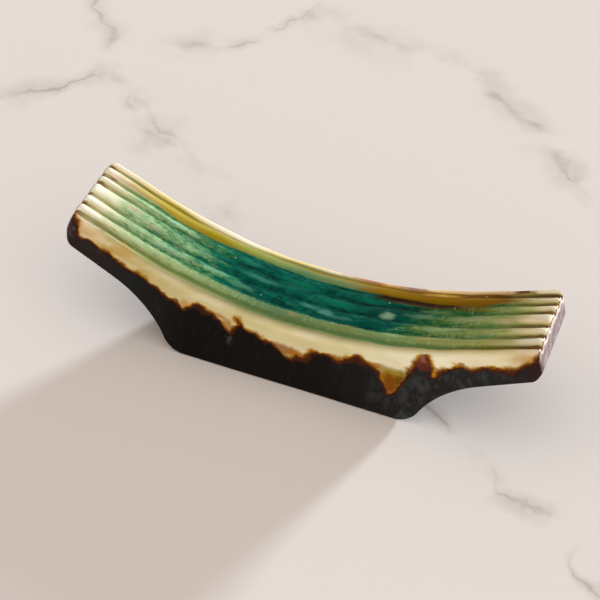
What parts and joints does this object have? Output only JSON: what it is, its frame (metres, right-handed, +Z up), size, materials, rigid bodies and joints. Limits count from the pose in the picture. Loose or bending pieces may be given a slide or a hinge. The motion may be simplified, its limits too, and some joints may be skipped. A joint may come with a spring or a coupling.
{
  "type": "chopstick rest",
  "caption": "Bridge-shaped ceramic chopstick rest with a combed, hollow top, raised wings, a flat foot and pale, green and dark glaze coats.",
  "frame": {"origin": "on the table, under the middle of the rest", "axes": "+X along the rest, +Y towards the back flank, +Z up from the table"},
  "size_m": [0.079, 0.0168, 0.0217],
  "materials": {
    "stoneware_clay": "matte",
    "cream_ash_glaze": "glossy",
    "copper_green_glaze": "glossy",
    "iron_brown_glaze": "satin"
  },
  "bodies": {
    "root": {"clay_body": "stoneware_clay", "cream_glaze": "cream_ash_glaze", "green_glaze": "copper_green_glaze", "iron_glaze": "iron_brown_glaze"}
  },
  "joints": []
}
